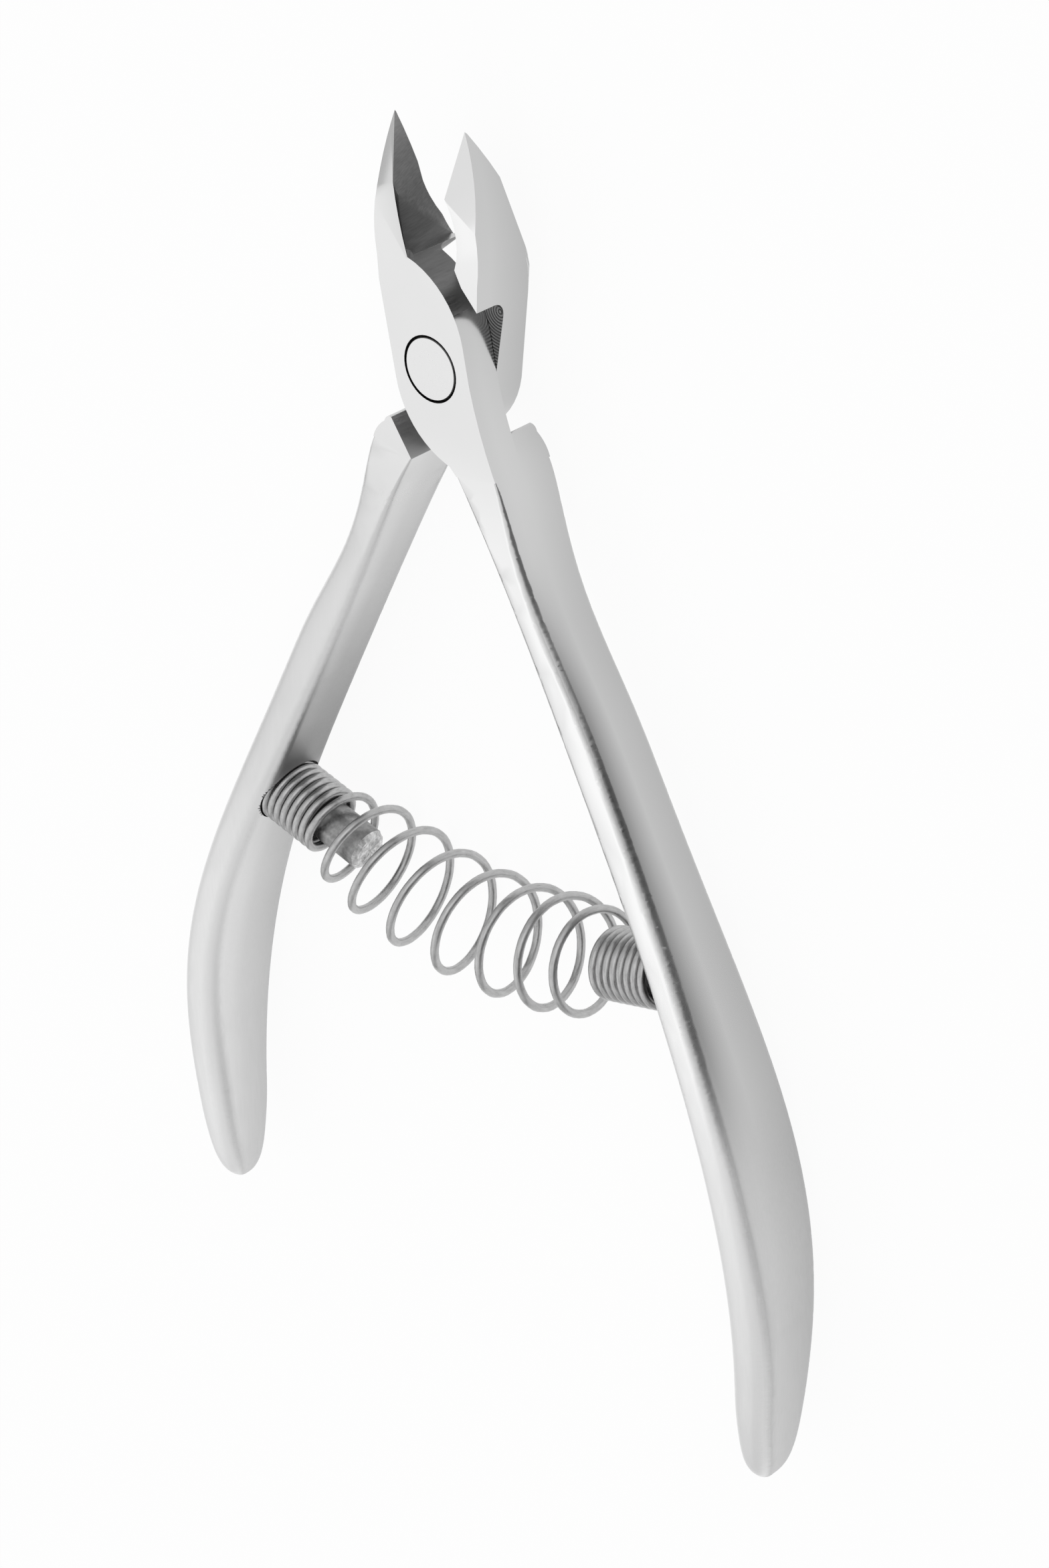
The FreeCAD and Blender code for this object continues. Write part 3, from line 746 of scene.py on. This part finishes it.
# Places on a half in the closed frame, where the jaw is on -X.
JAW_INSIDE = 1.0 * MM               # the flats are cut below this along X
JAW_ROOT = -8.0 * MM                # and above this along Y
BORE_REACH = 2.8 * MM               # round the counterbore of the pin's head
LAP_LEVEL = 2.93 * MM               # the rear half's face on which they turn
INNER_WALL = (4.0 * MM, 3.7 * MM)   # ground wall: above this Y, below this X
HEEL_WALL = (-8.4 * MM, -5.6 * MM)  # along Y
RECESS_WALL = (4.5 * MM, 8.6 * MM)  # along Y
RECESS_SIDE = -1.0 * MM             # below this along X
RECESS_MIDDLE = Vector((-3.4, 5.4, 2.9)) * MM
RECESS_FOOT = (6.3 * MM, 8.45 * MM)  # along Y
FOOT_SIDE = -0.3 * MM               # below this along X
FOOT_ANGLE = math.radians(-60)
FOOT_RADIUS = 1.1 * MM
WALL_CORNERS = (Vector((3.72, -5.75)) * MM, Vector((-0.35, 8.4)) * MM)
CORNER_RADIUS = 0.6 * MM
NEAR_CORNER = 0.25 * MM
NEAR_LAP = 0.1 * MM

# Where edges aren't burnished.
EDGE_MARGIN = 0.2 * MM              # cutting edge: this much more than its length
EDGE_SIDE = -0.6 * MM               # and above this along X
BACK_START = 2.0 * MM               # jaw's back: above this along Y
BACK_LEVEL = 2.8 * MM               # and below this along Z
SEAT_REACH = 4.4 * MM               # handle: all but this far round its seat

# Outward normal, and distance from the pivot axis at the back face.
CHEEK_FLATS = (
    ((-0.75, 0.25, -0.61), 4.35 * MM),
    ((-0.72, 0.05, -0.69), 2.66 * MM),
    ((-0.85, 0.15, -0.50), 3.90 * MM),
)


def in_seat(side, point):
    """Whether a place at rest lies on the floor or the wall of a spot face."""
    radius = bpy.context.scene.nipper_spring.seat_radius
    out = peg_direction(side)
    offset = point - seat_centre(side)
    height = offset.dot(out)
    across = (offset - out * height).length
    return -0.1 * MM < height < 3 * MM and across < radius * 1.02 and (
        height < 0.1 * MM or across > radius * 0.97)


def paint_half(piece, side):
    """Gives each face of a half its slot, by its place and normal."""
    turn = closed_frame(side)
    for face in piece.data.polygons:
        place = turn @ face.center
        normal = turn @ face.normal
        upright = abs(normal.z) < 0.75
        # Painted shade: the spot faces under the spring take darkened cut steel.
        if in_seat(side, face.center):
            face.material_index = SPOT_FACE
        # Painted shade: the bore round the pin, the jaws' inner walls and the heel walls
        # take the darkened wall greys.
        elif side == FRONT and place.xy.length < BORE_REACH and normal.z < 0.9:
            face.material_index = WALL
        elif (upright and normal.x > 0.3
                and place.y > INNER_WALL[0] and place.x < INNER_WALL[1]):
            face.material_index = WALL
        elif (upright and normal.y > 0.4 and normal.x < 0.2
                and HEEL_WALL[0] < place.y < HEEL_WALL[1]):
            face.material_index = WALL
        # Painted shade: the recess walls and the rear half's lap face take darkened cut
        # steel.
        elif (normal.z < 0.99 and normal.y < -0.2
                and RECESS_WALL[0] < place.y < RECESS_WALL[1]
                and place.x < RECESS_SIDE):
            face.material_index = RECESS
        elif (side == REAR and normal.z > 0.9
                and abs(place.z - LAP_LEVEL) < NEAR_LAP):
            face.material_index = RECESS


def make_half(node, body, side):
    """One half's skin, with rounded inner corners and burnished outer edges."""
    joint = bpy.context.scene.nipper_joint
    turn = closed_frame(side)
    piece = merged_copy(
        node, f"{node}_skin", lambda place: (turn @ place).y > HEAD_END)
    seat = seat_centre(side)
    recess = turn.inverted() @ RECESS_MIDDLE
    for material in (
            painted_light_face_steel(side),
            once(bpy.data.materials, "burnished_edge_painted_highlight", edge_steel),
            once(bpy.data.materials, "ground_wall_painted_shade", painted_shade_wall_steel),
            cut_steel_painted_shade(f"{node}_spot_face", seat, 0.34, 0.08),
            cut_steel_painted_shade(f"{node}_recess", recess, 0.42, 0.12)):
        piece.data.materials.append(material)

    def wall_corner(edge, angle):
        """Upright inner corner at one of WALL_CORNERS."""
        ends = [(turn @ vertex.co).xy for vertex in edge.verts]
        return angle < 0 and any(
            all((end - corner).length < NEAR_CORNER for end in ends)
            for corner in WALL_CORNERS)

    def recess_foot(edge, angle):
        """Corner between the lap face and the wall that the other boss clears."""
        place = turn @ middle_of(edge)
        return (angle < FOOT_ANGLE and place.x < FOOT_SIDE
                and RECESS_FOOT[0] < place.y < RECESS_FOOT[1]
                and abs(place.z - joint.thickness / 2) < NEAR_LAP)

    def is_burnished(point):
        """All but the cutting edge, the jaw's back, the handle and the rim of
        the counterbore."""
        place = turn @ point
        edge_start = joint.tip_reach - joint.edge_length - EDGE_MARGIN
        on_edge = place.y > edge_start and place.x > EDGE_SIDE
        on_back = place.y > BACK_START and place.z < BACK_LEVEL
        on_handle = place.y < HANDLE_START and (point - seat).length > SEAT_REACH
        on_rim = point.xy.length < joint.head_radius * 1.2
        return not (on_edge or on_back or on_handle or on_rim)

    if side == FRONT:
        round_edges(piece, CORNER_RADIUS, 5, wall_corner)
    round_edges(piece, FOOT_RADIUS, 7, recess_foot)
    shave(piece, turn, CHEEK_FLATS)
    paint_half(piece, side)
    burnish_edges(piece, is_burnished)
    soften(piece, node, lambda place: (turn @ place).y < HANDLE_START)
    place_piece(piece, body, node)


class NIPPER_OT_halves(bpy.types.Operator):
    """Skins the two halves, with burnished edges under a painted highlight and ground
    walls under painted shade
    """
    bl_idname = "nipper.halves"
    bl_label = "Halves"

    def execute(self, context):
        make_half("front_half", "front", FRONT)
        make_half("rear_half", "rear", REAR)
        return {"FINISHED"}


class NIPPER_OT_pivot_pin(bpy.types.Operator):
    """Skins the pivot pin, with a painted shadow on its sides round the flush head"""
    bl_idname = "nipper.pivot_pin"
    bl_label = "Pivot pin"

    def execute(self, context):
        piece = merged_copy("pivot_pin", "pivot_pin_skin")
        piece.data.materials.append(pin_steel())
        piece.data.materials.append(
            once(bpy.data.materials, "ground_wall_painted_shade", painted_shade_wall_steel))
        # Painted shadow: the pin's sides and rim take the darkened wall greys, as the gap
        # round the head.
        for face in piece.data.polygons:
            if face.normal.z < 0.9:
                face.material_index = 1      # all but the head's face
        soften(piece)
        place_piece(piece, "rear", "pivot_pin")
        return {"FINISHED"}


# -------------------------------------------------------------------- pegs
PEG_SIDES = 64
FACET_SIDES = 4                     # sides of the peg to a facet of its chamfer
FACET_BITE = (-0.03, 0.13)          # how deep a facet cuts, in millimetres
PIT_DEPTH = 0.07                    # of the cropped end, in millimetres
RIM_WIDTH = 0.12 * MM               # round the cropped end
PEG_SINK = 0.3 * MM                 # how far the peg's skin goes into its seat
TURNED, CROPPED = range(2)          # material slots of a peg


def make_peg(name, node, body, side, length):
    """Turned peg whose free end was cropped and roughly chamfered."""
    spring = bpy.context.scene.nipper_spring
    out = peg_direction(side)
    straight = length - spring.chamfer + PEG_SINK
    middle = seat_centre(side) + out * (straight / 2 - PEG_SINK)
    deselect()
    bpy.ops.mesh.primitive_cylinder_add(
        vertices=PEG_SIDES, radius=spring.peg_radius, depth=straight,
        location=middle, rotation=out.to_track_quat("Z", "Y").to_euler())
    peg = bpy.context.active_object
    peg.name = name
    bpy.ops.object.transform_apply(location=True, rotation=True, scale=True)
    bpy.ops.object.mode_set(mode="EDIT")
    choose_faces(peg, lambda face: face.normal.dot(out) > 0.9)
    bpy.ops.mesh.extrude_region_move(
        TRANSFORM_OT_translate={"value": out * spring.chamfer})
    shrink = 1 - spring.chamfer / spring.peg_radius
    end = seat_centre(side) + out * length
    bpy.ops.transform.resize(value=(shrink,) * 3, center_override=end)
    bpy.ops.mesh.inset(thickness=RIM_WIDTH)
    bpy.ops.mesh.poke()
    bpy.ops.mesh.subdivide(number_cuts=3)
    bpy.ops.object.mode_set(mode="OBJECT")

    draw = random.Random(7)
    facets = PEG_SIDES // FACET_SIDES
    bites = [draw.uniform(*FACET_BITE) * MM for _ in range(facets)]
    to_axis = out.to_track_quat("Z", "Y").to_matrix().inverted()
    for vertex in peg.data.vertices:
        local = to_axis @ (vertex.co - end)
        radius = math.hypot(local.x, local.y)
        angle = math.atan2(local.y, local.x) % math.tau
        facet = int(angle / math.tau * facets) % facets
        if local.z > -1.2 * spring.chamfer and radius > spring.peg_radius * 0.72:
            pull = bites[facet] / radius
            vertex.co -= to_axis.inverted() @ Vector((local.x, local.y, 0)) * pull
        elif local.z > -0.3 * spring.chamfer:
            vertex.co -= out * draw.uniform(0, PIT_DEPTH) * MM
    peg.data.materials.append(peg_steel(f"{name}_turned", 0.36, 0.24, 0.3))
    peg.data.materials.append(peg_steel(f"{name}_cropped", 0.95, 0.45, 0.8))
    for face in peg.data.polygons:
        flat = face.normal.dot(out) > 0.3
        face.material_index = CROPPED if flat else TURNED
        face.use_smooth = not flat
    place_piece(peg, body, node)


class NIPPER_OT_pegs(bpy.types.Operator):
    """Turns the two spring pegs, with rough cropped ends"""
    bl_idname = "nipper.pegs"
    bl_label = "Spring pegs"

    def execute(self, context):
        spring = context.scene.nipper_spring
        make_peg("left_peg", "left_spring_peg", "rear", REAR, spring.left_peg)
        make_peg("right_peg", "right_spring_peg", "front", FRONT, spring.right_peg)
        return {"FINISHED"}


# ------------------------------------------------------------------ spring
STEPS_PER_TURN = 16     # points on the wire's line to each turn


def spring_line():
    """Half length of the bowed axis, and its place at a distance from the
    left seat: straight along each peg and an arc between them."""
    scene = bpy.context.scene
    seat = seat_centre(FRONT)
    dip = scene.nipper_joint.opening + scene.nipper_spring.peg_lean
    straight = scene.nipper_spring.bow_start
    radius = (seat.x - straight * math.cos(dip)) / math.sin(dip)
    half_length = straight + radius * dip

    def place(distance):
        along = min(distance, 2 * half_length - distance)
        mirror = 1 if distance <= half_length else -1
        if along <= straight:
            slope = dip
            x = -seat.x + along * math.cos(dip)
            y = seat.y - along * math.sin(dip)
        else:
            slope = dip - (along - straight) / radius
            x = -radius * math.sin(slope)
            foot = seat.y - straight * math.sin(dip)
            y = foot + radius * (math.cos(dip) - math.cos(slope))
        normal = Vector((math.sin(slope) * mirror, math.cos(slope), 0))
        return Vector((x * mirror, y, seat.z)), normal

    return half_length, place


def spring_points():
    """The wire's middle line, wound left-handed from the left seat."""
    spring = bpy.context.scene.nipper_spring
    half_length, place = spring_line()
    wire = spring.wire / 2
    left, wide, right = spring.left_turns, spring.open_turns, spring.right_turns
    start = spring.left_play + wire
    finish = 2 * half_length - spring.right_slack - wire
    open_length = finish - start - (left + right) * spring.pitch
    inner = spring.peg_radius + spring.clearance + wire
    swell = spring.barrel - inner
    points = []
    for step in range(int((left + wide + right) * STEPS_PER_TURN) + 1):
        turn = step / STEPS_PER_TURN
        share = min(max((turn - left) / wide, 0), 1)
        wound = min(turn, left) + max(turn - left - wide, 0)
        spread = share - spring.pitch_swell * math.sin(math.tau * share) / math.tau
        point, normal = place(start + wound * spring.pitch + spread * open_length)
        fullness = spring.left_fullness if share < 0.5 else spring.right_fullness
        radius = inner + swell * (1 - abs(2 * share - 1) ** fullness)
        angle = spring.phase + math.tau * (turn - left)
        points.append(
            point + normal * radius * math.cos(angle)
            - Vector((0, 0, radius * math.sin(angle))))
    return points


class NIPPER_OT_return_spring(bpy.types.Operator):
    """Winds the barrel spring and seats it on the pegs"""
    bl_idname = "nipper.return_spring"
    bl_label = "Return spring"

    def execute(self, context):
        spring = context.scene.nipper_spring
        points = spring_points()
        deselect()
        bpy.ops.curve.primitive_bezier_curve_add()
        wire = context.active_object
        wire.name = "spring_coil"
        wire.data.splines.clear()
        line = wire.data.splines.new("BEZIER")
        line.bezier_points.add(len(points) - 1)
        for knot, point in zip(line.bezier_points, points):
            knot.co = point
            knot.handle_left_type = knot.handle_right_type = "AUTO"
        line.resolution_u = 3
        wire.data.bevel_depth = spring.wire / 2
        wire.data.bevel_resolution = 4
        wire.data.use_fill_caps = True
        wire.data.twist_mode = "MINIMUM"
        pick(wire)
        bpy.ops.object.convert(target="MESH")
        wire = context.active_object
        bpy.ops.object.transform_apply(location=True, rotation=True, scale=True)
        bpy.ops.object.mode_set(mode="EDIT")
        merge_doubles()
        bpy.ops.mesh.normals_make_consistent(inside=False)
        bpy.ops.object.mode_set(mode="OBJECT")
        bpy.ops.object.shade_smooth_by_angle(angle=WIRE_ANGLE)
        wire.data.materials.clear()
        wire.data.materials.append(wire_steel())
        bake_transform(wire)
        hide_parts("return_spring")
        return {"FINISHED"}


# ------------------------------------------------------------------- stage
# Soft panels: name, level's property, direction from the object, distance, side.
PANELS = (
    ("key_panel", "key_level", (-0.59, -0.51, 0.62), 0.85, 1.0),
    ("fill_panel", "fill_level", (0.55, 0.6, 0.75), 1.0, 0.8),
)
DARK_SIDE = (0.94, -0.12, 0.32)     # towards the dark side of the room
FLOOR_GAP = 0.02 * MM


def floor_material(grey, glow):
    """Pale floor, nearly plain white to the camera and in reflections."""
    material = bpy.data.materials.new("pale_floor")
    material.use_nodes = True
    tree = material.node_tree
    shader = tree.nodes["Principled BSDF"]
    shader.inputs["Roughness"].default_value = 1.0
    shader.inputs["Specular IOR Level"].default_value = 0.0
    cloud = noise(tree, coordinates(tree), Scale=3.0)
    tree.links.new(mix(tree, cloud, grey, grey * 0.995), shader.inputs["Base Color"])
    rays = tree.nodes.new("ShaderNodeLightPath").outputs
    seen = maths(
        tree, "MAXIMUM",
        maths(tree, "MAXIMUM", rays["Is Camera Ray"], rays["Is Glossy Ray"]),
        rays["Is Transmission Ray"])
    white = tree.nodes.new("ShaderNodeEmission")
    blend = tree.nodes.new("ShaderNodeMixShader")
    tree.links.new(maths(tree, "MULTIPLY", seen, glow), blend.inputs["Fac"])
    tree.links.new(shader.outputs["BSDF"], blend.inputs[1])
    tree.links.new(white.outputs["Emission"], blend.inputs[2])
    tree.links.new(
        blend.outputs["Shader"], tree.nodes["Material Output"].inputs["Surface"])
    return material


def light_sky(stage):
    """Pale surround, brighter overhead, with a dark side low on +X."""
    world = bpy.context.scene.world or bpy.data.worlds.new("pale_surround")
    bpy.context.scene.world = world
    world.use_nodes = True
    tree = world.node_tree
    height = remap(tree, axes(tree, "Generated")["Z"], 0, 1, 0.0, 0.8)
    sky = mix(tree, height, stage.horizon_level, stage.sky_level)
    towards = vector_maths(
        tree, "DOT_PRODUCT", coordinates(tree, "Generated"),
        Vector(DARK_SIDE).normalized())
    dark = remap(tree, towards["Value"], 0, 1, 0.80, 0.94)
    background = tree.nodes["Background"]
    tree.links.new(
        mix(tree, dark, sky, stage.dark_level), background.inputs["Color"])


def hang_panel(name, centre, direction, distance, size, level):
    """Square soft panel that faces the middle of the object."""
    place = centre + direction.normalized() * distance
    turn = direction.to_track_quat("Z", "Y").to_euler()
    bpy.ops.object.light_add(type="AREA", location=place, rotation=turn)
    lamp = bpy.context.active_object
    lamp.name = name
    lamp.data.shape = "SQUARE"
    lamp.data.size = size
    lamp.data.energy = level * size * size


class NIPPER_OT_stage(bpy.types.Operator):
    """Lays the floor, hangs the lamps and sets the camera"""
    bl_idname = "nipper.stage"
    bl_label = "Stage"

    def execute(self, context):
        scene = context.scene
        stage = scene.nipper_stage
        low, high = CAD_BOX
        centre = (low + high) / 2
        deselect()
        bpy.ops.mesh.primitive_plane_add(
            size=stage.floor_size, location=(centre.x, centre.y, low.z - FLOOR_GAP))
        floor = context.active_object
        floor.name = "floor"
        floor.data.materials.append(floor_material(stage.floor_grey, stage.floor_glow))
        light_sky(stage)
        for name, level, direction, distance, size in PANELS:
            hang_panel(
                name, centre, Vector(direction), distance, size, getattr(stage, level))

        place = Vector(stage.camera_place)
        forward = (Vector(stage.camera_aim) - place).normalized()
        right = forward.cross(Vector(stage.camera_up)).normalized()
        up = right.cross(forward)
        turn = Matrix((right, up, -forward)).transposed().to_4x4()
        bpy.ops.object.camera_add()
        camera = context.active_object
        camera.matrix_world = Matrix.Translation(place) @ turn
        camera.data.sensor_fit = "VERTICAL"
        camera.data.sensor_height = 36.0
        camera.data.lens = stage.lens
        camera.data.clip_start = 0.005
        camera.data.clip_end = 20.0
        scene.camera = camera
        scene.view_settings.view_transform = "Standard"
        return {"FINISHED"}


# ------------------------------------------------------------------- panel
class NIPPER_PT_panel(bpy.types.Panel):
    """Lists the nipper's pieces and sizes"""
    bl_idname = "NIPPER_PT_panel"
    bl_label = "Cuticle nipper"
    bl_space_type = "VIEW_3D"
    bl_region_type = "UI"
    bl_category = "Nipper"

    def draw(self, context):
        layout = self.layout
        for operator in OPERATORS:
            layout.operator(operator.bl_idname)
        for name in SETTINGS:
            settings = getattr(context.scene, name)
            box = layout.box()
            for key in settings.__annotations__:
                box.prop(settings, key)


OPERATORS = (
    NIPPER_OT_halves,
    NIPPER_OT_pivot_pin,
    NIPPER_OT_pegs,
    NIPPER_OT_return_spring,
    NIPPER_OT_stage,
)
SETTINGS = {
    "nipper_finish": NipperFinish,
    "nipper_joint": NipperJoint,
    "nipper_spring": NipperSpring,
    "nipper_stage": NipperStage,
}


def register():
    for settings in SETTINGS.values():
        bpy.utils.register_class(settings)
    for operator in OPERATORS:
        bpy.utils.register_class(operator)
    bpy.utils.register_class(NIPPER_PT_panel)
    for name, settings in SETTINGS.items():
        setattr(bpy.types.Scene, name, PointerProperty(type=settings))


def unregister():
    for name in SETTINGS:
        delattr(bpy.types.Scene, name)
    bpy.utils.unregister_class(NIPPER_PT_panel)
    for operator in reversed(OPERATORS):
        bpy.utils.unregister_class(operator)
    for settings in reversed(list(SETTINGS.values())):
        bpy.utils.unregister_class(settings)


def main():
    register()
    bpy.ops.nipper.halves()
    bpy.ops.nipper.pivot_pin()
    bpy.ops.nipper.pegs()
    bpy.ops.nipper.return_spring()
    bpy.ops.nipper.stage()


if __name__ == "__main__":
    main()
